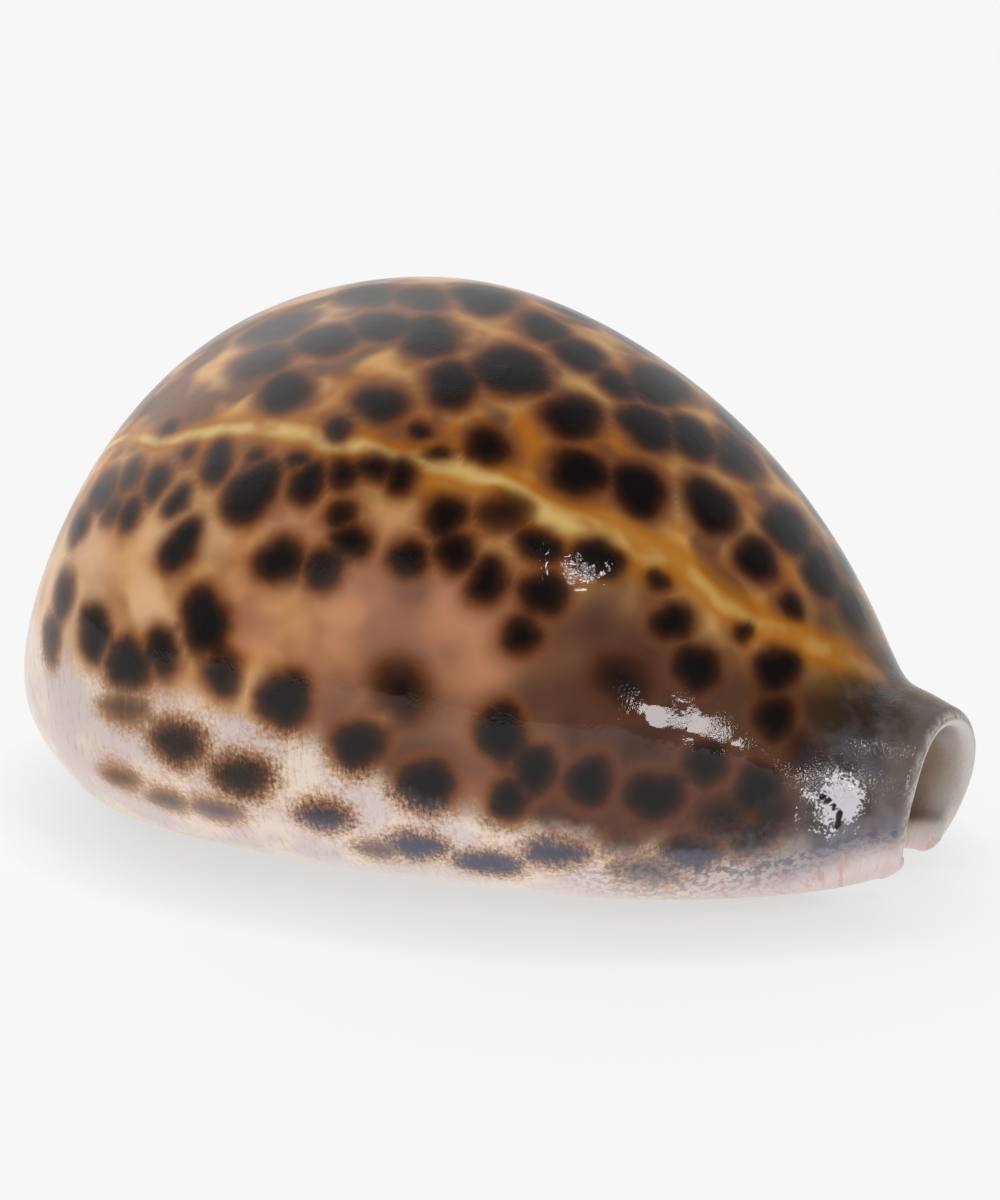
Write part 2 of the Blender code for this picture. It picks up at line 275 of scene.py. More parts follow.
def spline_weights(share: np.ndarray) -> tuple[np.ndarray, ...]:
    """The four weights of a uniform cubic B-spline.

    Args:
        share: how far along its span each sample is, from 0 to 1.

    Returns:
        One array of weights for each of the span's four control points.
    """
    return (
        (1 - share) ** 3 / 6,
        (3 * share**3 - 6 * share**2 + 4) / 6,
        (-3 * share**3 + 3 * share**2 + 3 * share + 1) / 6,
        share**3 / 6,
    )


def smoothstep(low: float, high: float, value: np.ndarray) -> np.ndarray:
    """A smooth ramp from 0 at low to 1 at high.

    Args:
        low: where the ramp starts.
        high: where it ends, above or below low.
        value: the values to place on it.

    Returns:
        The ramp's height at each value.
    """
    share = np.clip((value - low) / (high - low), 0, 1)
    return share * share * (3 - 2 * share)


@dataclass(frozen=True)
class Teeth:
    """The ridges across both lips, in percent of the shell's length."""

    first: float = -42.0
    last: float = 39.9
    pitch: float = 3.15
    height: float = 1.0
    sharpness: float = 1.35
    into_throat: float = 1.6
    over_sole: float = 2.3
    fine_share: float = 0.86
    low_share: float = 0.85
    fade_in: float = 6.0
    fade_out: float = 5.0
    mean: float = 0.45

    def wave(self, along: np.ndarray, pitch: float) -> np.ndarray:
        """The ridges' profile along the shell, from 0 in a groove to 1 on a ridge.

        Args:
            along: places along the shell, in percent.
            pitch: the distance between ridges, in percent.

        Returns:
            The profile's height at each place.
        """
        phase = 2 * math.pi * (along - self.first) / pitch
        return (0.5 + 0.5 * np.cos(phase)) ** self.sharpness

    def raised(self, grid: np.ndarray, along: np.ndarray, columns: np.ndarray) -> np.ndarray:
        """The grid with the ridges raised along its normals.

        Args:
            grid: the wall's points, rows by columns, in percent.
            along: where each row's foot lies, in percent.
            columns: where each column lies, in control columns.

        Returns:
            The grid with its teeth.
        """
        around = np.roll(grid, -1, axis=1) - np.roll(grid, 1, axis=1)
        out = np.stack([np.zeros(grid.shape[:2]), -around[..., 2], around[..., 1]], axis=2)
        out /= np.maximum(np.linalg.norm(out, axis=2, keepdims=True), 1e-9)
        fade = smoothstep(self.first, self.first + self.fade_in, along)
        fade = fade * smoothstep(self.last, self.last - self.fade_out, along)
        lips = (
            (Wall.OUTER_LIP_EDGE, 1, self.pitch, 1.0),
            (Wall.COLUMELLA_EDGE, -1, self.pitch * self.fine_share, self.low_share),
        )
        for edge, towards_sole, pitch, share in lips:
            away = (columns - edge) * towards_sole
            reach = np.where(away > 0, self.over_sole, self.into_throat)
            window = np.clip(1 - (away / reach) ** 2, 0, 1) ** 1.5
            ridge = self.wave(along, pitch) - self.mean
            grid = grid - out * (share * self.height * (fade * ridge)[:, None] * window)[..., None]
        return grid


@dataclass(frozen=True)
class Wall:
    """The shell's wall as a loft, in percent of the shell's length."""

    OUTER_LIP_EDGE = 2.0
    COLUMELLA_EDGE = 20.0
    COLUMELLA_THROAT = 22.0
    COLUMNS = 34

    stations: tuple[Station, ...] = STATIONS
    teeth: Teeth = field(default_factory=Teeth)
    back_power: float = 2.15
    flank: tuple[tuple[float, float], ...] = ((0.48, 0.0), (0.76, 0.19), (0.85, 0.48))
    sole_sink: float = 0.35
    base_softness: float = 0.12
    rows_per_tooth: int = 10
    back_rows: int = 16
    front_rows: int = 16
    rim_angles: tuple[float, ...] = (16, 32, 48, 64, 78, 88)
    # (first column, last column, steps) for each stretch of the mesh round a section
    stretches: tuple[tuple[float, float, int], ...] = (
        (0, 3, 22),
        (3, 8, 48),
        (8, 14, 112),
        (14, 19, 48),
        (19, 22, 22),
        (22, 34, 56),
    )

    def oval(
        self, near: float, far: float, foot: float, top: float, step: float
    ) -> list[tuple[float, float]]:
        """Control points for a curve on an upper half oval, from the near side over the top.

        Args:
            near: the half width on the outer lip's side.
            far: the half width on the columella's side.
            foot: the height of the oval's widest place.
            top: the height of its top.
            step: the angle between points, in degrees.

        Returns:
            The points, each (sideways, up).
        """
        swell = 3 / (2 + math.cos(math.radians(step)))  # a B-spline runs inside its points
        points = []
        for count in range(1, round(180 / step)):
            angle = math.radians(count * step)
            reach = math.copysign(abs(math.cos(angle)) ** (2 / self.back_power), math.cos(angle))
            width = near if reach > 0 else far
            rise = math.sin(angle) ** (2 / self.back_power)
            points.append((-width * swell * reach, foot + (top - foot) * swell * rise))
        return points

    def lip_points(self, s: Station, side: int, width: float) -> list[tuple[float, float]]:
        """Control points of one lip, from the throat's top to the margin.

        Args:
            s: the section's sizes.
            side: -1 for the outer lip and 1 for the columella's.
            width: the section's half width on that side.

        Returns:
            The points, each (sideways, up).
        """
        sole, flank, cheek = self.flank
        dip = s.dip if side > 0 else 0.0
        toe = s.gap + min(2.8, 0.36 * (width - s.gap))
        ball = s.gap + min(3.2, 0.52 * (width - s.gap))
        return [
            (side * s.gap, s.lip),
            (side * s.gap, 0.5 * s.lip - 0.4 * dip),
            (side * (s.gap + 0.1), -dip),
            (side * toe, -self.sole_sink - dip),
            (side * max(sole[0] * width, ball), -self.sole_sink - dip),
            (side * flank[0] * width, flank[1] * s.margin - 0.6 * dip),
            (side * cheek[0] * width, cheek[1] * s.margin),
            (side * width, s.margin),
        ]

    def control_loop(self, s: Station, height: float) -> np.ndarray:
        """The control points round one section's wall.

        Args:
            s: the section's sizes.
            height: the section's height from foot to top.

        Returns:
            The loop's points, each (sideways, up).
        """
        roof = height - s.roof
        near = max(s.outer_lip - s.side, s.gap + 0.2)
        far = max(s.columella - s.side, s.gap + 0.2)
        inner_margin = s.lip + 0.3 * (roof - s.lip)

        def floor(side: int, width: float) -> list[tuple[float, float]]:
            """The inner floor's points, from the throat's top out to the inner margin.

            Args:
                side: -1 for the outer lip's side and 1 for the columella's.
                width: the inner half width on that side.

            Returns:
                The points, each (sideways, up).
            """
            return [
                (side * (0.55 * s.gap + 0.45 * width), s.lip),
                (side * (0.07 * s.gap + 0.93 * width), s.lip + 0.3 * (inner_margin - s.lip)),
                (side * width, inner_margin),
            ]

        outside = self.lip_points(s, -1, s.outer_lip)
        outside += self.oval(s.outer_lip, s.columella, s.margin, height, 22.5)
        outside += reversed(self.lip_points(s, 1, s.columella))
        inside = floor(1, far)
        inside += reversed(self.oval(near, far, inner_margin, roof, 30.0))
        inside += reversed(floor(-1, near))
        return np.array(outside + inside)

    def control_rows(self) -> np.ndarray:
        """The control points of the whole loft, so that it passes through every station.

        Returns:
            One row of points for each station.
        """
        rows = []
        for s in self.stations:
            rise = np.array([s.top_x - s.foot_x, s.top_z - s.foot_z])
            height = float(np.hypot(*rise))
            sideways, up = self.control_loop(s, height).T
            share = up / height
            ahead = -s.lag * np.abs(sideways) / s.columella - s.tuck
            x = s.foot_x + rise[0] * share + ahead * (1 - share) ** 3
            rows.append(np.stack([x, s.middle + sideways, s.foot_z + rise[1] * share], axis=1))
        return self.through_rows(np.array(rows))

    @staticmethod
    def through_rows(stations: np.ndarray) -> np.ndarray:
        """Control rows for a B-spline that passes through every station.

        Args:
            stations: one row of values for each station.

        Returns:
            The control rows, in the same shape.
        """
        count = len(stations)
        matrix = np.eye(count)
        for k in range(1, count - 1):
            matrix[k, k - 1 : k + 2] = (1 / 6, 4 / 6, 1 / 6)
        return np.linalg.solve(matrix, stations.reshape(count, -1)).reshape(stations.shape)

    @staticmethod
    def along_rows(control: np.ndarray, at: np.ndarray) -> np.ndarray:
        """Samples an open B-spline through the first axis.

        Args:
            control: the control rows.
            at: where to sample it, in control rows.

        Returns:
            One row of values for each place.
        """
        before, after = 2 * control[0] - control[1], 2 * control[-1] - control[-2]
        padded = np.concatenate([before[None], control, after[None]])
        span = np.clip(np.floor(at).astype(int), 0, len(control) - 2)
        share = (at - span).reshape((-1,) + (1,) * (control.ndim - 1))
        return sum(w * padded[span + k] for k, w in enumerate(spline_weights(share)))

    @staticmethod
    def round_columns(control: np.ndarray, at: np.ndarray) -> np.ndarray:
        """Samples a closed B-spline through the second axis.

        Args:
            control: rows of control points.
            at: where to sample them, in control columns.

        Returns:
            The same rows, with one point for each place.
        """
        span = np.floor(at).astype(int)
        share = (at - span)[None, :, None]
        count = control.shape[1]
        weights = spline_weights(share)
        return sum(w * control[:, (span + k - 1) % count] for k, w in enumerate(weights))

    def along_shell(self, at: np.ndarray) -> np.ndarray:
        """Where the foot of the section at each control row lies, in percent."""
        feet = np.array([s.foot_x for s in self.stations])
        return self.along_rows(self.through_rows(feet), at)

    def column_places(self) -> np.ndarray:
        """Where the mesh has points round a section, in control columns."""
        parts = [np.linspace(a, b, n, endpoint=False) for a, b, n in self.stretches]
        return np.concatenate(parts)

    def row_places(self) -> np.ndarray:
        """Where the mesh has sections.

        Returns:
            The places, in control rows.
        """
        fine = np.linspace(0, len(self.stations) - 1, 4000)
        step = self.teeth.pitch / self.rows_per_tooth
        teeth = np.arange(self.teeth.first, self.teeth.last, step)
        toothed = np.interp(teeth, self.along_shell(fine), fine)
        back = np.linspace(0, toothed[0], self.back_rows, endpoint=False)
        front = np.linspace(toothed[-1], fine[-1], self.front_rows + 1)[1:]
        return np.concatenate([back, toothed, front])

    def wall_middle(self, loop: np.ndarray, columns: np.ndarray) -> np.ndarray:
        """The middle of the wall beside each point of a section.

        Args:
            loop: the section's points.
            columns: where they lie, in control columns.

        Returns:
            One point for each of the section's.
        """
        outer = (columns >= self.OUTER_LIP_EDGE) & (columns <= self.COLUMELLA_EDGE)
        inner = columns >= self.COLUMELLA_THROAT
        lines = []
        for chosen in (outer, inner):
            points = loop[chosen]
            steps = np.linalg.norm(np.diff(points, axis=0), axis=1)
            lines.append((points, np.concatenate([[0], np.cumsum(steps)]) / steps.sum()))
        (outside, out_at), (inside, in_at) = lines
        inside, in_at = inside[::-1], 1 - in_at[::-1]
        at = np.interp(columns, [self.OUTER_LIP_EDGE, self.COLUMELLA_EDGE], [0, 1])
        at[outer] = out_at
        back_along = (columns[inner] - self.COLUMELLA_THROAT) / (
            self.COLUMNS - self.COLUMELLA_THROAT
        )
        at[inner] = np.interp(1 - back_along, np.linspace(0, 1, len(in_at)), in_at)
        both = [
            np.stack([np.interp(at, where, points[:, k]) for k in range(3)], axis=1)
            for points, where in ((outside, out_at), (inside, in_at))
        ]
        return (both[0] + both[1]) / 2

    def rim(self, grid: np.ndarray, columns: np.ndarray, end: int) -> np.ndarray:
        """Rows that round off the wall at one end, out from its last section.

        Args:
            grid: the wall's points.
            columns: where its columns lie.
            end: 0 for the back end and -1 for the front.

        Returns:
            The rim's rows, from the last section outwards.
        """
        loop = grid[end]
        middle = self.wall_middle(loop, columns)
        ahead = loop - grid[1 if end == 0 else -2]
        ahead = ahead / np.linalg.norm(ahead, axis=1, keepdims=True)
        ahead = ahead.mean(axis=0)
        half = np.linalg.norm(middle - loop, axis=1, keepdims=True)
        half = np.minimum(half, half.mean())
        rows = []
        for angle in np.radians(self.rim_angles):
            closed = 1 - math.cos(angle)
            rows.append(loop + (middle - loop) * closed + ahead * half * math.sin(angle))
        return np.array(rows)

    def build(self) -> "WallGrid":
        """The wall's fine grid, with its rims and its teeth.

        Returns:
            The grid, in millimetres.
        """
        rows = self.row_places()
        columns = self.column_places()
        grid = self.round_columns(self.along_rows(self.control_rows(), rows), columns)
        along = self.along_shell(rows)
        plain = grid.copy()
        grid = self.teeth.raised(grid, along, columns)
        back, front = self.rim(grid, columns, 0)[::-1], self.rim(grid, columns, -1)
        grid = np.concatenate([back, grid, front])
        plain = np.concatenate([back, plain, front])
        ends = len(self.rim_angles)
        along = np.concatenate([[along[0]] * ends, along, [along[-1]] * ends])
        level = grid[..., 2]  # the base is worn flat where it rests
        grid[..., 2] = 0.5 * (level + np.sqrt(level**2 + self.base_softness**2))
        scale = LENGTH / 100 / MM
        return WallGrid(grid * scale, plain * scale, along, columns)


@dataclass
class WallGrid:
    """The wall's points in millimetres, and where each lies on the shell.

    The plain points are those before the teeth were raised.
    """

    points: np.ndarray
    plain: np.ndarray
    along: np.ndarray
    columns: np.ndarray

    def outer(self) -> np.ndarray:
        """Which columns are on the outside."""
        return (self.columns >= Wall.OUTER_LIP_EDGE) & (self.columns <= Wall.COLUMELLA_EDGE)

    def outside_share(self) -> np.ndarray:
        """How far round the outside each point is, from the outer lip's edge to the other's.

        Returns:
            The shares, in percent.
        """
        outer = self.outer()
        line = self.plain[:, outer]
        steps = np.linalg.norm(np.diff(line, axis=1), axis=2)
        length = np.concatenate([np.zeros((len(line), 1)), np.cumsum(steps, axis=1)], axis=1)
        share = np.zeros(self.points.shape[:2])
        share[:, outer] = 100 * length / length[:, -1:]
        share[:, self.columns > Wall.COLUMELLA_EDGE] = 100.0
        return share

    def inside_mask(self) -> np.ndarray:
        """How far each point is inside the aperture.

        Returns:
            The shares: 0 outside and 1 on the inner wall.
        """
        into = np.interp(self.columns, [0, 1.6], [1.0, 0.0])
        back = np.interp(self.columns, [20.4, 22], [0.0, 1.0])
        return np.maximum(into, back)[None, :] * np.ones((len(self.points), 1))

    def rim_distance(self) -> np.ndarray:
        """How far each point lies behind the rim of the siphonal canal, in millimetres."""
        steps = np.linalg.norm(np.diff(self.plain, axis=0), axis=2)
        return np.cumsum(np.append(steps, np.zeros((1, steps.shape[1])), axis=0)[::-1], axis=0)[::-1]

    def frames(self) -> tuple[np.ndarray, np.ndarray]:
        """Unit directions at each point.

        Returns:
            The direction along the shell, and the one round it.
        """
        ahead = np.gradient(self.plain, axis=0)
        ahead /= np.maximum(np.linalg.norm(ahead, axis=2, keepdims=True), 1e-9)
        around = np.roll(self.plain, -1, axis=1) - np.roll(self.plain, 1, axis=1)
        around -= ahead * (around * ahead).sum(axis=2, keepdims=True)
        around /= np.maximum(np.linalg.norm(around, axis=2, keepdims=True), 1e-9)
        return ahead, around


@dataclass(frozen=True)
class Markings:
    """Where the shell's colours lie: distances and shares, worked out at each of its points."""

    spots: tuple[Spot, ...] = SPOTS
    mantle_line: tuple[tuple[float, float], ...] = MANTLE_LINE
    callus_edge: tuple[tuple[float, float], ...] = CALLUS_EDGE
    spot_range: float = 10.0
    lobes: tuple[tuple[float, int], ...] = ((0.06, 2), (0.06, 3), (0.03, 5))
    lobe_seed: int = 3
    far_seed: int = 11
    far_tries: int = 1400
    far_along: tuple[float, float] = (-45.0, 41.0)
    far_around: tuple[float, float] = (56.0, 86.0)
    far_length: tuple[float, float] = (4.4, 6.2)
    far_roundness: tuple[float, float] = (0.72, 0.95)
    far_shrink: float = 0.45
    far_ends: float = 34.0
    far_end_share: float = 0.8
    far_blurred: float = 74.0
    far_feathered: float = 79.0
    far_clearance: float = 0.9
    reach: float = 8.0
    # the worn patch, whose pale colour is a painted highlight, and the crack, whose near-black line
    # is a painted dark reflection
    highlit_scar: tuple[float, float] = (43.1, 24.6)
    crack: tuple[tuple[float, float], ...] = ((40.9, 26.6), (42.2, 25.6), (43.3, 23.2), (43.8, 20.8))

    @staticmethod
    def nearest(wall: WallGrid, share: np.ndarray, along: float, around: float) -> tuple[int, int]:
        """The grid's row and column nearest a place on the outside.

        Args:
            wall: the wall's points.
            share: how far round the outside each point is, in percent.
            along: the place along the shell, in percent.
            around: the place round it, in percent.

        Returns:
            The row and the column.
        """
        row = int(np.argmin(np.abs(wall.along - along)))
        return row, int(np.argmin(np.abs(share[row] - around)))

    def far_side(self, wall: WallGrid, share: np.ndarray) -> list[Spot]:
        """Scatters spots over the columella's side, as close as those of the other side.

        Args:
            wall: the wall's points.
            share: how far round the outside each point is, in percent.

        Returns:
            The new spots.
        """
        rng = np.random.default_rng(self.far_seed)
        taken = [
            (wall.plain[self.nearest(wall, share, s.along, s.around)], s.length / 2)
            for s in self.spots
        ]
        found = []
        for count in range(self.far_tries):
            along, around = rng.uniform(*self.far_along), rng.uniform(*self.far_around)
            shrink = 1 - self.far_shrink * count / self.far_tries
            if abs(along) > self.far_ends:
                shrink *= self.far_end_share
            length = rng.uniform(*self.far_length) * shrink
            width, tilt = length * rng.uniform(*self.far_roundness), rng.uniform(-90, 90)
            centre = wall.plain[self.nearest(wall, share, along, around)]
            if any(
                np.linalg.norm(centre - other) < half + length / 2 + self.far_clearance
                for other, half in taken
            ):
                continue
            tone = Tone.CRISP
            if around >= self.far_blurred:
                tone = Tone.BLURRED if around < self.far_feathered else Tone.FEATHERED
            found.append(Spot(along, around, length, width, tilt, tone))
            taken.append((centre, length / 2))
        return found

    def spot_fields(self, wall: WallGrid, share: np.ndarray) -> dict[str, np.ndarray]:
        """The distance to the nearest spot's edge, with that spot's edge width and depth.

        Args:
            wall: the wall's points.
            share: how far round the outside each point is, in percent.

        Returns:
            The fields by name. The distance is in millimetres, and negative inside a spot.
        """
        shape = share.shape
        distance, edge, depth = np.full(shape, self.reach), np.ones(shape), np.zeros(shape)
        ahead, around = wall.frames()
        outer = wall.outer()
        rng = np.random.default_rng(self.lobe_seed)
        for spot in [*self.spots, *self.far_side(wall, share)]:
            at = self.nearest(wall, share, spot.along, spot.around)
            offset = wall.plain - wall.plain[at]
            near = (np.linalg.norm(offset, axis=2) < self.spot_range) & outer[None, :]
            offset = offset[near]
            u, v = offset @ ahead[at], offset @ around[at]
            tilt = math.radians(spot.tilt)
            p = u * math.cos(tilt) + v * math.sin(tilt)
            q = v * math.cos(tilt) - u * math.sin(tilt)
            ratio = np.maximum(np.hypot(p / (spot.length / 2), q / (spot.width / 2)), 1e-6)
            radius = np.where(ratio > 0.02, np.hypot(p, q) / ratio, spot.width / 2)
            angle = np.arctan2(q, p)
            turns = rng.uniform(0, 2 * math.pi, len(self.lobes))
            lobes = sum(
                size * np.sin(times * angle + turn)
                for turn, (size, times) in zip(turns, self.lobes)
            )
            found = (ratio - 1 - lobes) * radius
            closer = found < distance[near]
            for target, value in (
                (distance, found),
                (edge, np.full_like(found, spot.tone.value[0])),
                (depth, np.full_like(found, spot.tone.value[1])),
            ):
                kept = target[near]
                kept[closer] = value[closer]
                target[near] = kept
        return {"spot_mm": distance, "spot_edge": edge, "spot_depth": depth}

    def crack_distance(self, wall: WallGrid, share: np.ndarray) -> np.ndarray:
        """The distance to the little crack in the enamel near the front end.

        Args:
            wall: the wall's points.
            share: how far round the outside each point is, in percent.

        Returns:
            The distance at each point, in millimetres.
        """
        corners = [wall.plain[self.nearest(wall, share, *place)] for place in self.crack]
        distance = np.full(share.shape, self.reach)
        for start, end in zip(corners, corners[1:]):
            side = end - start
            part = np.clip(((wall.plain - start) @ side) / (side @ side), 0, 1)
            gap = np.linalg.norm(wall.plain - start - part[..., None] * side, axis=2)
            distance = np.minimum(distance, gap)
        return distance

    def fields(self, wall: WallGrid) -> dict[str, np.ndarray]:
        """Every field that the enamel reads.

        Args:
            wall: the wall's points.

        Returns:
            The fields by name, each rows by columns.
        """
        share = wall.outside_share()
        steps = np.linalg.norm(np.diff(wall.plain[:, wall.outer()], axis=1), axis=2)
        girth = steps.sum(axis=1)[:, None] / 100
        along = wall.along[:, None] + 0 * share
        folded = np.minimum(share, 100 - share)
        line = np.interp(wall.along, *np.array(self.mantle_line).T)[:, None]
        line = line + 0.3 * np.sin(along * 0.35)
        callus = np.interp(wall.along, *np.array(self.callus_edge).T)[:, None]
        highlit_scar = wall.plain - wall.plain[self.nearest(wall, share, *self.highlit_scar)]
        return self.spot_fields(wall, share) | {
            "highlit_scar_mm": np.linalg.norm(highlit_scar, axis=2),
            "crack_mm": self.crack_distance(wall, share),
            "line_mm": (share - line) * girth,
            "callus_mm": (callus - folded) * girth,
            "along_mm": along * LENGTH / 100 / MM,
            "girth_mm": share * girth,
            "fold": folded,
            "inside": wall.inside_mask(),
            "rim_mm": wall.rim_distance(),
        }


class Value:
    """A number or a colour that nodes work out at each place."""

    def __init__(self, bench: "NodeBench", socket: bpy.types.NodeSocket) -> None:
        """Keeps the socket that gives the value, and the bench that it is on."""
        self.bench, self.socket = bench, socket

    def __add__(self, other: "Value | float") -> "Value":
        """The sum."""
        return self.bench.maths("ADD", self, other)

    def __sub__(self, other: "Value | float") -> "Value":
        """The difference."""
        return self.bench.maths("SUBTRACT", self, other)

    def __mul__(self, other: "Value | float") -> "Value":
        """The product."""
        return self.bench.maths("MULTIPLY", self, other)

    def __truediv__(self, other: "Value | float") -> "Value":
        """The quotient."""
        return self.bench.maths("DIVIDE", self, other)

    def ramp(
        self, low: "Value | float", high: "Value | float", start: float = 0.0, end: float = 1.0
    ) -> "Value":
        """A smooth ramp.

        Args:
            low: where it starts.
            high: where it ends, above or below low.
            start: its height at low.
            end: its height at high.

        Returns:
            The ramp's height at the value.
        """
        made = self.bench.node("ShaderNodeMapRange", interpolation_type="SMOOTHSTEP")
        for socket, number in zip(made.inputs, (self, low, high, start, end)):
            self.bench.plug(socket, number)
        return Value(self.bench, made.outputs[0])


class NodeBench:
    """Adds nodes to one tree and joins them, so that a finish reads as a recipe."""

    def __init__(self, tree: bpy.types.NodeTree) -> None:
        """Keeps the tree."""
        self.tree = tree

    def node(self, kind: str, **settings: object) -> bpy.types.Node:
        """Adds a node.

        Args:
            kind: the node's type.
            settings: its settings, by name.

        Returns:
            The node.
        """
        made = self.tree.nodes.new(kind)
        for name, value in settings.items():
            setattr(made, name, value)
        return made

    def plug(self, socket: bpy.types.NodeSocket, value: object) -> None:
        """Joins a socket to a value, or gives it a constant.

        Args:
            socket: the socket to fill.
            value: a value, another socket, a number or a paint.
        """
        if isinstance(value, Value):
            value = value.socket
        if isinstance(value, bpy.types.NodeSocket):
            self.tree.links.new(value, socket)
        else:
            socket.default_value = linear(value) if isinstance(value, tuple) else value

    def field(self, name: str) -> Value:
        """One of the mesh's fields."""
        node = self.node("ShaderNodeAttribute", attribute_name=name)
        return Value(self, node.outputs["Fac"])

    def maths(self, operation: str, *values: object) -> Value:
        """A calculation on one, two or three values.

        Args:
            operation: what is done.
            values: what it is done to.

        Returns:
            The result.
        """
        made = self.node("ShaderNodeMath", operation=operation)
        for socket, value in zip(made.inputs, values):
            self.plug(socket, value)
        return Value(self, made.outputs[0])

    def mixed(self, share: Value, first: Value | Paint, second: Value | Paint) -> Value:
        """A colour between two colours.

        Args:
            share: how far it lies towards the second.
            first: the first colour.
            second: the second colour.

        Returns:
            The colour.
        """
        made = self.node("ShaderNodeMix", data_type="RGBA")
        for socket, value in (("Factor", share), (6, first), (7, second)):
            self.plug(made.inputs[socket], value)
        return Value(self, made.outputs[2])


class MaterialBench(NodeBench):
    """A bench for a new material."""

    def __init__(self, name: str) -> None:
        """Starts the material, which holds only its shader."""
        self.material = bpy.data.materials.new(name)
        self.material.use_nodes = True
        super().__init__(self.material.node_tree)
        self.shader = self.tree.nodes["Principled BSDF"]


class EnamelBench(MaterialBench):
    """A bench for the enamel, which knows the places on the shell."""

    def __init__(self, name: str, squeeze: float) -> None:
        """Starts the material, with its places in millimetres.

        Args:
            name: the material's name.
            squeeze: how far the flow's places are squeezed along the shell's girth.
        """
        super().__init__(name)
        to_mm = self.node("ShaderNodeVectorMath", operation="SCALE")
        self.plug(to_mm.inputs[0], self.node("ShaderNodeTexCoord").outputs["Object"])
        to_mm.inputs["Scale"].default_value = 1 / MM
        self.place = Value(self, to_mm.outputs[0])
        flow = self.node("ShaderNodeCombineXYZ")
        self.plug(flow.inputs[0], self.field("along_mm"))
        self.plug(flow.inputs[1], self.field("girth_mm") * squeeze)
        self.flow = Value(self, flow.outputs[0])

    def noise(
        self, size: float, detail: float = 2.0, roughness: float = 0.5, place: Value | None = None
    ) -> Value:
        """Cloudy noise about a half.

        Args:
            size: how large its clouds are, in millimetres.
            detail: how many finer layers it has.
            roughness: how strong those are.
            place: where it is read, if not at the place on the shell.

        Returns:
            The noise, from 0 to 1.
        """
        made = self.node("ShaderNodeTexNoise")
        self.plug(made.inputs["Vector"], place or self.place)
        made.inputs["Scale"].default_value = 1 / size
        made.inputs["Detail"].default_value = detail
        made.inputs["Roughness"].default_value = roughness
        return Value(self, made.outputs["Fac"])


def linear(paint: Paint) -> tuple[float, ...]:
    """A paint's linear colour."""
    return (*(((c / 255 + 0.055) / 1.055) ** 2.4 for c in paint), 1.0)


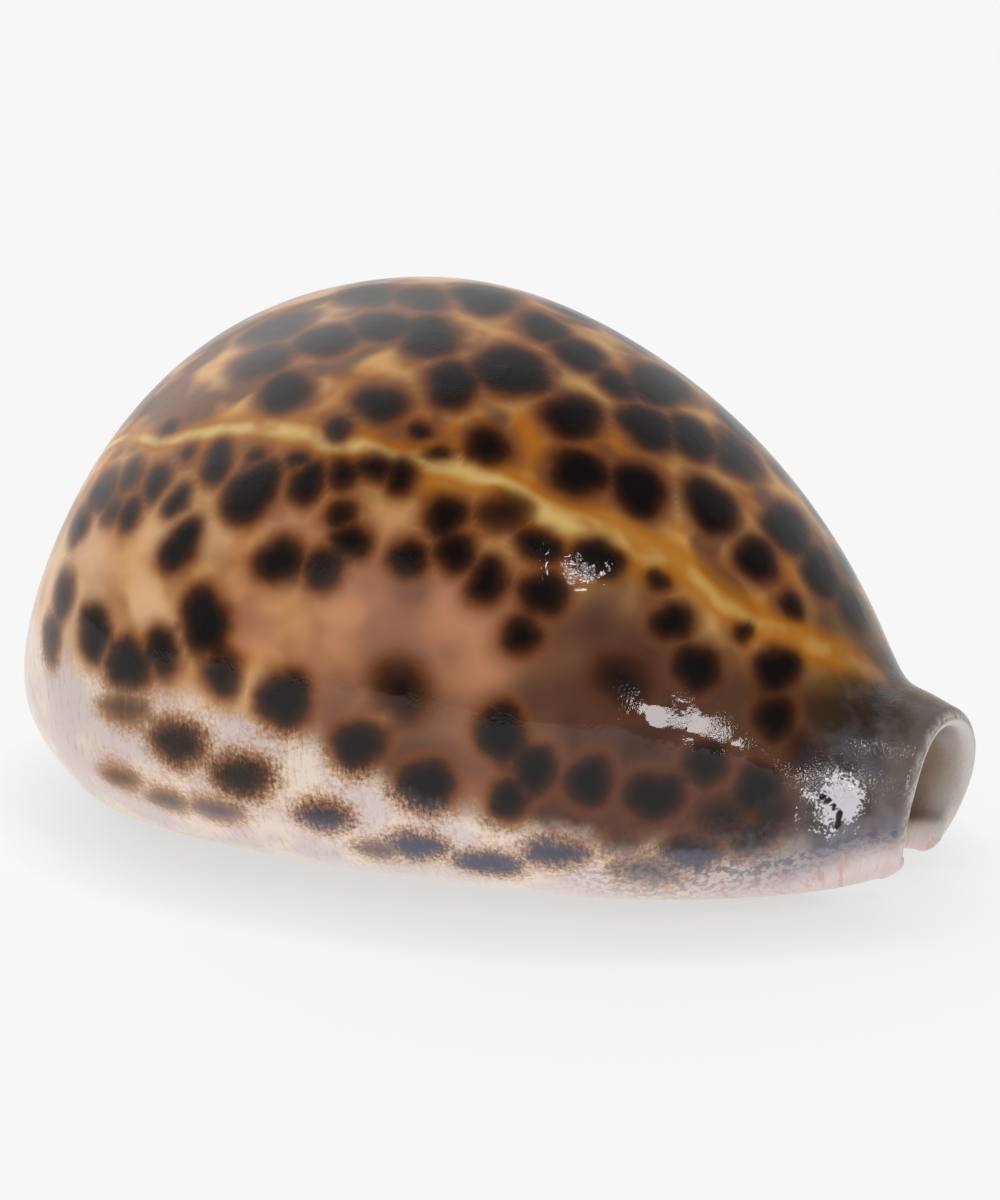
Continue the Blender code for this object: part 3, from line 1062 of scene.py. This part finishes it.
@dataclass(frozen=True)
class ShellEnamel:
    """The shell's finish: layered colours under a glassy coat."""

    cream: Paint = (240, 182, 106)
    amber: Paint = (208, 124, 34)
    rose: Paint = (210, 144, 108)
    peach: Paint = (252, 206, 162)
    chestnut: Paint = (76, 46, 34)
    mauve: Paint = (114, 74, 56)
    halo: Paint = (150, 80, 30)
    rust: Paint = (62, 30, 16)
    spot: Paint = (20, 12, 10)
    slate: Paint = (84, 84, 102)
    line_core: Paint = (246, 208, 128)
    line_edge: Paint = (198, 120, 20)
    callus: Paint = (253, 234, 218)
    lilac: Paint = (234, 216, 214)
    sand: Paint = (200, 150, 98)
    base: Paint = (252, 240, 228)
    lavender: Paint = (136, 130, 142)
    petal: Paint = (218, 196, 198)
    smoky: Paint = (136, 122, 114)
    orange: Paint = (206, 140, 96)
    storm: Paint = (92, 93, 102)
    bark: Paint = (60, 46, 36)
    # the worn patch's pale colour: a painted highlight
    worn: Paint = (226, 220, 228)
    olive: Paint = (70, 52, 22)
    rim: Paint = (150, 138, 126)
    # the back end's pale grey: partly its own colour, partly a painted reflection haze
    back_end_and_painted_haze: Paint = (190, 178, 176)
    throat: Paint = (206, 198, 192)
    # the inner wall's painted shade, deeper inside the canal
    throat_shade: Paint = (152, 124, 98)
    roughness: float = 0.4
    specular: float = 0.05
    coat: float = 0.52
    coat_roughness: float = 0.03
    coat_ior: float = 1.5
    bump_mm: float = 0.012
    flow_squeeze: float = 0.2

    def ground(self, bench: EnamelBench) -> Value:
        """The colour under the spots: an amber network above, and a cloudy flank.

        Args:
            bench: the material's nodes.

        Returns:
            The colour.
        """
        line, along = bench.field("line_mm"), bench.field("along_mm")
        colour = bench.mixed(bench.noise(5.0).ramp(0.36, 0.64), self.cream, self.amber)
        drift = bench.noise(9.0, 1.0) * 40.0 + along
        rosy = line.ramp(-3.0, -9.0) * drift.ramp(4.0, 18.0)
        colour = bench.mixed(rosy * 0.9, colour, self.rose)
        pale = line.ramp(-5.0, -11.0) * drift.ramp(12.0, 0.0)
        colour = bench.mixed(pale * 0.8, colour, self.peach)
        dark = line.ramp(-1.5, -7.0) * (line * -0.6 + drift).ramp(27.0, 50.0)
        colour = bench.mixed(dark, colour, self.chestnut)
        olive = drift.ramp(42.0, 54.0) * bench.field("fold").ramp(26.0, 36.0, 0.0, 0.8)
        colour = bench.mixed(olive, colour, self.olive)
        dusk = along.ramp(-10.0, -26.0) * line.ramp(0.5, 4.0)
        ghost = (dusk * 0.12 + bench.noise(4.6, 1.0, 0.4)).ramp(0.41, 0.67, 0.0, 0.9)
        wash = bench.noise(3.2, 1.0, 0.4) - 0.5
        near = (wash * 1.4 + bench.field("spot_mm")).ramp(2.9, 0.2, 0.0, 0.85)
        clouded = bench.maths("MAXIMUM", ghost, near)
        strength = line.ramp(-8.0, 0.0, 0.5, 1.0) * pale.ramp(0.0, 1.0, 1.0, 0.5)
        return bench.mixed(clouded * strength, colour, self.mauve)

    def lined(self, bench: EnamelBench, colour: Value) -> Value:
        """The mantle line laid over a colour: a cream core between amber edges.

        Args:
            bench: the material's nodes.
            colour: the colour to lay it on.

        Returns:
            The colour with the line.
        """
        along = bench.field("along_mm")
        wander = bench.noise(5.0, 1.0, 0.4) - 0.5
        across = wander * along.ramp(-14.0, 6.0, 0.8, 3.6) + bench.field("line_mm")
        far = bench.maths("ABSOLUTE", across) / along.ramp(-34.0, 8.0, 0.42, 1.15)
        broken = bench.noise(5.0).ramp(0.34, 0.52, 0.15, 1.0)
        core = far.ramp(1.5, 0.1, 0.0, 0.95) * broken * along.ramp(8.0, 30.0, 1.0, 0.35)
        colour = bench.mixed(far.ramp(3.1, 0.7, 0.0, 0.9), colour, self.line_edge)
        return bench.mixed(core, colour, self.line_core)

    def veiled(self, bench: EnamelBench, colour: Value, callus: Value) -> Value:
        """The pale callus laid over a colour, sandy about its spots.

        Args:
            bench: the material's nodes.
            colour: the colour to lay it on.
            callus: how thick the callus is, from 0 to 1.

        Returns:
            The colour with the callus.
        """
        pale = bench.mixed(bench.noise(6.0).ramp(0.40, 0.60), self.callus, self.lilac)
        hairs = bench.noise(0.35, 3.0, 0.6, bench.flow).ramp(0.50, 0.72, 0.0, 0.4)
        pale = bench.mixed(hairs, pale, self.sand)
        near = (bench.noise(0.4, 2.0, 0.7) - 0.5) * 4.0 + bench.field("spot_mm")
        pale = bench.mixed(near.ramp(2.8, 0.4, 0.0, 0.85), pale, self.sand)
        return bench.mixed(callus * 0.94, colour, pale)

    def spotted(self, bench: EnamelBench, colour: Value, callus: Value) -> Value:
        """The dark spots laid over a colour, with their halos.

        Args:
            bench: the material's nodes.
            colour: the colour to lay them on.
            callus: how thick the pale callus is, from 0 to 1.

        Returns:
            The colour with the spots.
        """
        along = bench.field("along_mm")
        fuzz = bench.noise(1.8, 3.0, 0.55) - 0.5
        hairs = bench.noise(0.28, 3.0, 0.7, bench.flow) - 0.5
        grains = bench.noise(0.4, 2.0, 0.7) - 0.5
        frayed = callus.ramp(0.3, 0.9) * along.ramp(-22.0, 2.0, 1.2, 3.6)
        distance = fuzz * 0.7 + bench.field("spot_mm") + (grains * 0.8 + hairs) * frayed
        reach = distance / bench.field("spot_edge")
        low = bench.field("fold").ramp(19.5, 17.0)
        blue = callus.ramp(0.5, 0.95) * bench.maths("MAXIMUM", along.ramp(-4.0, 22.0), low)
        thin = callus.ramp(0.2, 1.0, 1.0, 0.92)
        depth = bench.field("spot_depth")
        for amount, tone in (
            (distance.ramp(1.9, 0.2) * along.ramp(4.0, 24.0, 0.7, 0.25), self.halo),
            (reach.ramp(1.5, -0.4, 0.0, 0.9), self.rust),
            (reach.ramp(0.8, -1.4), self.spot),
        ):
            shade = bench.mixed(blue, tone, self.slate)
            colour = bench.mixed(amount * depth * thin, colour, shade)
        return colour

    def ended(self, bench: EnamelBench, colour: Value) -> Value:
        """The base and the two ends laid over a colour.

        Args:
            bench: the material's nodes.
            colour: the colour to lay them on.

        Returns:
            The colour of the whole outside.
        """
        fold, along = bench.field("fold"), bench.field("along_mm")
        drift = bench.noise(4.0) * 8.0 + along
        storm = bench.mixed(bench.noise(4.0, 3.0, 0.6).ramp(0.36, 0.62), self.storm, self.bark)
        near = bench.noise(2.5) * -8.0 + bench.field("rim_mm")
        smoky = near.ramp(2.0, -3.0, 0.0, 0.65) * fold.ramp(18.0, 30.0)
        storm = bench.mixed(smoky, storm, self.smoky)
        colour = bench.mixed(drift.ramp(34.0, 41.0) * 0.9, colour, storm)
        # partly painted reflection: a pale grey haze over the back end
        colour = bench.mixed(drift.ramp(-30.0, -37.0, 0.0, 0.7), colour, self.back_end_and_painted_haze)
        grains = bench.noise(0.6, 3.0, 0.6)
        misty = (grains * 8.0 + fold).ramp(28.0, 19.0, 0.0, 0.6) * along.ramp(22.0, 34.0)
        colour = bench.mixed(misty, colour, self.lavender)
        mottled = along.ramp(14.0, 24.0) * fold.ramp(19.5, 16.0)
        mottled = mottled * grains.ramp(0.46, 0.56, 0.0, 0.7)
        colour = bench.mixed(mottled, colour, self.slate)
        ahead = along.ramp(10.0, 30.0)
        base = bench.mixed(ahead * 0.75, self.base, self.petal)
        streaks = bench.noise(0.8, 3.0, 0.6, bench.flow).ramp(0.52, 0.66, 0.0, 0.5)
        base = bench.mixed(streaks * along.ramp(16.0, 28.0), base, self.orange)
        low = (grains * 2.0 + fold).ramp(ahead * 3.0 + 16.0, ahead * -3.5 + 12.5)
        return bench.mixed(low, colour, base)

    def rimmed(self, bench: EnamelBench, colour: Value) -> Value:
        """The canal's rim and the inner wall laid over a colour, with painted shade that darkens the
        inner wall deeper inside.

        Args:
            bench: the material's nodes.
            colour: the colour of the whole outside.

        Returns:
            The colour of the outside and the inside.
        """
        rim = bench.field("rim_mm")
        # painted shade: the inner wall turns brown-grey further in from the canal's rim
        shade_depth = bench.noise(4.0, 1.0) * 4.0 + rim
        within = bench.mixed(shade_depth.ramp(3.0, 7.0, 0.0, 0.85), self.throat, self.throat_shade)
        chips = bench.noise(0.9, 3.0, 0.6).ramp(0.40, 0.62)
        chipped = bench.mixed(chips, self.throat, self.rim)
        chipped = bench.mixed(bench.field("fold").ramp(14.0, 6.0), chipped, self.petal)
        colour = bench.mixed(rim.ramp(1.1, 0.2, 0.0, 0.75), colour, chipped)
        return bench.mixed(bench.field("inside"), colour, within)

    def scar_and_painted_highlight(self, bench: EnamelBench, colour: Value) -> Value:
        """The worn patch near the front end laid over a colour, with its crack. The patch's pale
        colour is a painted highlight on the worn place, and the crack's near-black line is a painted
        dark reflection along its groove.

        Args:
            bench: the material's nodes.
            colour: the colour to lay it on.

        Returns:
            The colour with the patch.
        """
        ragged = bench.noise(0.9, 4.0, 0.7) - 0.5
        torn = bench.noise(2.2, 1.0) - 0.5
        specks = bench.noise(0.30, 2.0, 0.6) - 0.5
        highlit_scar = torn * 4.5 + bench.field("highlit_scar_mm")
        highlit_scar = specks * 5.0 + (ragged * 3.0 + highlit_scar)
        # painted highlight: the worn patch turns pale and speckled
        colour = bench.mixed(highlit_scar.ramp(2.5, 1.7, 0.0, 0.92), colour, self.worn)
        # painted dark reflection: the crack's near-black line along its groove
        crack = ragged * 0.4 + bench.field("crack_mm")
        return bench.mixed(crack.ramp(0.38, 0.22), colour, self.spot)

    def relief(self, bench: EnamelBench) -> Value:
        """The fine pits, swells and growth lines that break the gloss.

        Args:
            bench: the material's nodes.

        Returns:
            Their height, in bump depths.
        """
        worn = bench.noise(3.0).ramp(0.45, 0.60, 0.05, 1.7)
        worn = worn + bench.field("highlit_scar_mm").ramp(2.6, 0.8, 0.0, 4.0)
        worn = worn + bench.field("along_mm").ramp(31.0, 35.5, 0.0, 4.0)
        pits = bench.noise(0.30, 2.0, 0.6) * worn
        height = bench.noise(0.5, 3.0, 0.6, bench.flow) * 0.12 + pits
        height = bench.noise(3.5) * 2.4 + height
        return height + bench.field("crack_mm").ramp(0.1, 0.3, -8.0, 0.0)

    def build(self) -> bpy.types.Material:
        """The finish as a material.

        Returns:
            The material.
        """
        bench = EnamelBench("glazed_shell", self.flow_squeeze)
        ragged = bench.noise(2.5, 3.0, 0.6) - 0.5
        callus = (ragged * 3.0 + bench.field("callus_mm")).ramp(-1.5, 2.5)
        colour = self.lined(bench, self.ground(bench))
        colour = self.spotted(bench, self.veiled(bench, colour, callus), callus)
        colour = self.rimmed(bench, self.ended(bench, colour))
        bump = bench.node("ShaderNodeBump")
        bump.inputs["Strength"].default_value = 1.0
        bump.inputs["Distance"].default_value = self.bump_mm * MM
        bench.plug(bump.inputs["Height"], self.relief(bench))
        for name, value in (
            ("Base Color", self.scar_and_painted_highlight(bench, colour)),
            ("Normal", bump.outputs[0]),
            ("Coat Normal", bump.outputs[0]),
            ("Roughness", self.roughness),
            ("Specular IOR Level", self.specular),
            ("Coat Weight", self.coat),
            ("Coat Roughness", self.coat_roughness),
            ("Coat IOR", self.coat_ior),
        ):
            bench.plug(bench.shader.inputs[name], value)
        return bench.material


@dataclass(frozen=True)
class CowrieShell:
    """The shell itself: its fine wall, its markings and its enamel."""

    node: str = "cowrie_shell"
    slot: str = "glazed_shell"
    body: str = "root"
    wall: Wall = field(default_factory=Wall)
    markings: Markings = field(default_factory=Markings)
    enamel: ShellEnamel = field(default_factory=ShellEnamel)

    def cap(self, wall: WallGrid, first: int) -> list[tuple[int, int, int]]:
        """Triangles that close the last slit between the wall's outside and its inside.

        Args:
            wall: the wall's points.
            first: the number of the row's first point.

        Returns:
            The triangles, as point numbers.
        """
        columns = wall.columns
        count = len(columns)
        start = int(np.searchsorted(columns, Wall.OUTER_LIP_EDGE / 2))
        turn = int(np.searchsorted(columns, (Wall.COLUMELLA_EDGE + Wall.COLUMELLA_THROAT) / 2))
        outside = [first + i for i in range(start, turn + 1)]
        inside = [first + i % count for i in range(count + start, turn - 1, -1)]
        out_points, in_points = (wall.points.reshape(-1, 3)[line] for line in (outside, inside))
        faces = []
        i, j, last_i, last_j = 0, 0, len(outside) - 1, len(inside) - 1
        while i < last_i or j < last_j:
            onward = out_points[min(i + 1, last_i)] - in_points[j]
            back = in_points[min(j + 1, last_j)] - out_points[i]
            if j == last_j or (i < last_i and onward @ onward <= back @ back):
                faces.append((outside[i], outside[i + 1], inside[j]))
                i += 1
            else:
                faces.append((outside[i], inside[j + 1], inside[j]))
                j += 1
        return [face for face in faces if len(set(face)) == 3]

    def mesh(self, wall: WallGrid) -> bpy.types.Mesh:
        """The wall as one closed mesh, placed where the frame's shell is.

        Args:
            wall: the wall's points.

        Returns:
            The mesh.
        """
        rows, count = wall.points.shape[:2]
        points = wall.points * MM
        low, high = (np.array(corner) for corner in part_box(self.node))
        lowest, highest = points.min(axis=(0, 1)), points.max(axis=(0, 1))
        points = points + [*((low + high - lowest - highest) / 2)[:2], low[2] - lowest[2]]
        faces = []
        for row in range(rows - 1):
            here, ahead = row * count, (row + 1) * count
            for k in range(count):
                before = (k - 1) % count
                faces.append((here + before, ahead + before, ahead + k, here + k))
        faces += self.cap(wall, 0)
        faces += [face[::-1] for face in self.cap(wall, (rows - 1) * count)]
        made = bpy.data.meshes.new("enamelled_shell")
        made.from_pydata(points.reshape(-1, 3).tolist(), [], faces)
        made.validate()
        made.shade_smooth()
        return made

    def build(self) -> bpy.types.Object:
        """Makes the shell and stands it in for the frame's plain one.

        Returns:
            The shell's object.
        """
        wall = self.wall.build()
        made = self.mesh(wall)
        for name, values in self.markings.fields(wall).items():
            layer = made.attributes.new(name, "FLOAT", "POINT")
            layer.data.foreach_set("value", values.astype(np.float32).ravel())
        shell = bpy.data.objects.new("enamelled_shell", made)
        bpy.context.scene.collection.objects.link(shell)
        made.materials.append(self.enamel.build())
        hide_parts(self.node)
        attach(shell, self.body)
        LOG.info("%s: %d faces", shell.name, len(made.polygons))
        return shell


@dataclass(frozen=True)
class Tabletop:
    """The plain pale surface under the shell."""

    half_size: float = 3.0
    glow: float = 0.805
    albedo: float = 0.20
    roughness: float = 0.9
    shade_reach: float = 0.010
    shade_share: float = 0.32

    def build(self) -> bpy.types.Object:
        """Makes the floor, level with the shell's rest face.

        Returns:
            The floor's object.
        """
        half, level = self.half_size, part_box("cowrie_shell")[0].z
        corners = [(-half, -half), (half, -half), (half, half), (-half, half)]
        made = bpy.data.meshes.new("tabletop")
        made.from_pydata([(x, y, level) for x, y in corners], [], [(0, 1, 2, 3)])
        bench = MaterialBench("pale_tabletop")
        shader = bench.shader
        under = bench.node("ShaderNodeNewGeometry").outputs["Backfacing"]
        bench.plug(shader.inputs["Alpha"], bench.maths("SUBTRACT", 1.0, under))
        shader.inputs["Base Color"].default_value = (self.albedo,) * 3 + (1,)
        shader.inputs["Roughness"].default_value = self.roughness
        shader.inputs["Specular IOR Level"].default_value = 0.0
        shader.inputs["Emission Color"].default_value = (1, 1, 1, 1)
        shade = bench.node("ShaderNodeAmbientOcclusion", samples=8)
        shade.inputs["Distance"].default_value = self.shade_reach
        part = self.glow * self.shade_share
        glow = bench.maths("MULTIPLY_ADD", shade.outputs["AO"], part, self.glow - part)
        bench.plug(shader.inputs["Emission Strength"], glow)
        made.materials.append(bench.material)
        floor = bpy.data.objects.new("tabletop", made)
        bpy.context.scene.collection.objects.link(floor)
        LOG.info("%s: %.1f m across", floor.name, 2 * half)
        return floor


@dataclass(frozen=True)
class Lamp:
    """One soft light, placed by its direction from the shell. Azimuth 0 is towards -Y."""

    name: str
    azimuth: float
    elevation: float
    distance: float
    width: float
    height: float
    radiance: float

    def build(self, target: Vector) -> bpy.types.Object:
        """Makes the light.

        Args:
            target: the point that it faces.

        Returns:
            The light's object.
        """
        light = bpy.data.lights.new(self.name, "AREA")
        light.shape = "RECTANGLE"
        light.size, light.size_y = self.width, self.height
        light.energy = self.radiance * math.pi * self.width * self.height
        made = bpy.data.objects.new(self.name, light)
        bpy.context.scene.collection.objects.link(made)
        away = direction(self.azimuth, self.elevation)
        made.location = target + away * self.distance
        made.rotation_euler = away.to_track_quat("Z", "Y").to_euler()
        return made


def direction(azimuth: float, elevation: float) -> Vector:
    """A unit vector towards a place seen from the shell, with azimuth 0 towards -Y."""
    a, e = math.radians(azimuth), math.radians(elevation)
    return Vector((math.sin(a) * math.cos(e), -math.cos(a) * math.cos(e), math.sin(e)))


@dataclass(frozen=True)
class Glow:
    """A soft-edged bright part of the room, placed by its direction from the shell."""

    azimuth: float
    elevation: float
    inner: float
    outer: float
    radiance: float


@dataclass(frozen=True)
class Studio:
    """The room's own soft light, brighter behind the shell, and the lamps round the table."""

    dim: float = 0.08
    glows: tuple[Glow, ...] = (
        Glow(-160, 10, 15, 66, 0.62),
        Glow(-112, 43, 4, 50, 1.3),
        Glow(-75, 22, 5, 60, 0.40),
        Glow(-2, 24, 0, 20, 0.9),
    )
    lamps: tuple[Lamp, ...] = (
        Lamp("low_window", 59, 8, 1.0, 0.30, 0.13, 21.0),
        Lamp("high_window", 52, 48.5, 1.0, 0.06, 0.04, 90.0),
        Lamp("high_pane", 62, 51.5, 1.0, 0.035, 0.03, 90.0),
    )

    def room(self) -> bpy.types.World:
        """The room's light, which fades round from its bright parts.

        Returns:
            The world that gives it.
        """
        world = bpy.data.worlds.new("room")
        world.use_nodes = True
        bench = NodeBench(world.node_tree)
        outlook = bench.node("ShaderNodeTexCoord").outputs["Generated"]
        total = self.dim
        for glow in self.glows:
            dot = bench.node("ShaderNodeVectorMath", operation="DOT_PRODUCT")
            bench.plug(dot.inputs[0], outlook)
            dot.inputs[1].default_value = direction(glow.azimuth, glow.elevation)
            outer, inner = (math.cos(math.radians(a)) for a in (glow.outer, glow.inner))
            towards = Value(bench, dot.outputs["Value"])
            total = towards.ramp(outer, inner, 0.0, glow.radiance) + total
        background = bench.tree.nodes["Background"]
        bench.plug(background.inputs["Strength"], total)
        background.inputs["Color"].default_value = (1, 1, 1, 1)
        return world

    def build(self) -> None:
        """Makes the lamps and the room's own light."""
        low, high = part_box("cowrie_shell")
        for lamp in self.lamps:
            lamp.build((low + high) / 2)
        bpy.context.scene.world = self.room()
        settings = bpy.context.scene.view_settings
        settings.view_transform = "Standard"
        settings.look = "None"
        LOG.info("studio: %d lamps", len(self.lamps))


@dataclass(frozen=True)
class Viewpoint:
    """The camera: a long lens, from the front on the outer lip's side."""

    azimuth: float = 28.0
    elevation: float = 20.0
    distance: float = 0.600
    pivot: tuple[float, float, float] = (-0.0004, 0.0012, 0.0220)
    aim: tuple[float, float, float] = (-0.0004, 0.0006, 0.0206)
    lens: float = 201.6

    def build(self) -> bpy.types.Object:
        """Makes the camera and gives it to the scene.

        Returns:
            The camera's object.
        """
        lens = bpy.data.cameras.new("viewpoint")
        lens.lens = self.lens
        camera = bpy.data.objects.new("viewpoint", lens)
        bpy.context.scene.collection.objects.link(camera)
        towards = direction(self.azimuth, self.elevation)
        camera.location = Vector(self.pivot) + towards * self.distance
        away = camera.location - Vector(self.aim)
        camera.rotation_euler = away.to_track_quat("Z", "Y").to_euler()
        bpy.context.scene.camera = camera
        LOG.info("viewpoint: %.0f mm lens", self.lens)
        return camera


def main() -> None:
    """Builds the scene in order."""
    logging.basicConfig(level=logging.INFO, format="%(name)s: %(message)s")
    CowrieShell().build()
    Tabletop().build()
    Studio().build()
    Viewpoint().build()


if __name__ == "__main__":
    main()
